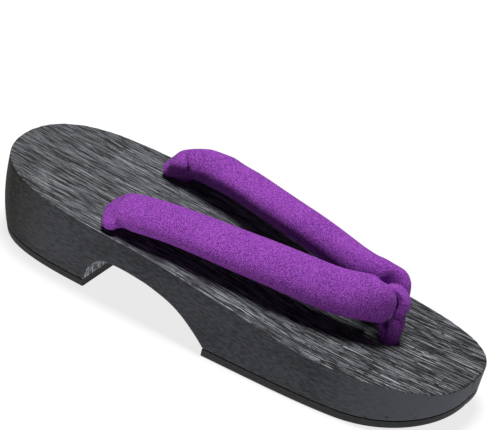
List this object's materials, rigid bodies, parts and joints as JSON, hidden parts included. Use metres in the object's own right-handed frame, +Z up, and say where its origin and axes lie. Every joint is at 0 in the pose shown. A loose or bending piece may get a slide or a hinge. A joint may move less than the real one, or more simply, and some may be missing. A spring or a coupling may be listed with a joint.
{
  "type": "geta sandal",
  "caption": "Wooden geta sandal: rounded deck on a carved heel block and arch, rubber soles, padded purple thong strap held by a toe loop.",
  "frame": {"origin": "on the floor, under the middle of the sandal's bounding box", "axes": "+X towards the toe, +Y towards the wearer's left, +Z up"},
  "size_m": [0.2402, 0.0844, 0.0544],
  "materials": {
    "black_wood": "black stained, brushed grain, satin",
    "black_rubber": "matte",
    "purple_cloth": "woven crepe over padding"
  },
  "bodies": {
    "root": {"wood_base": "black_wood", "forefoot_rubber_sole": "black_rubber", "heel_rubber_sole": "black_rubber", "thong_strap": "purple_cloth", "toe_loop": "purple_cloth"}
  },
  "joints": []
}
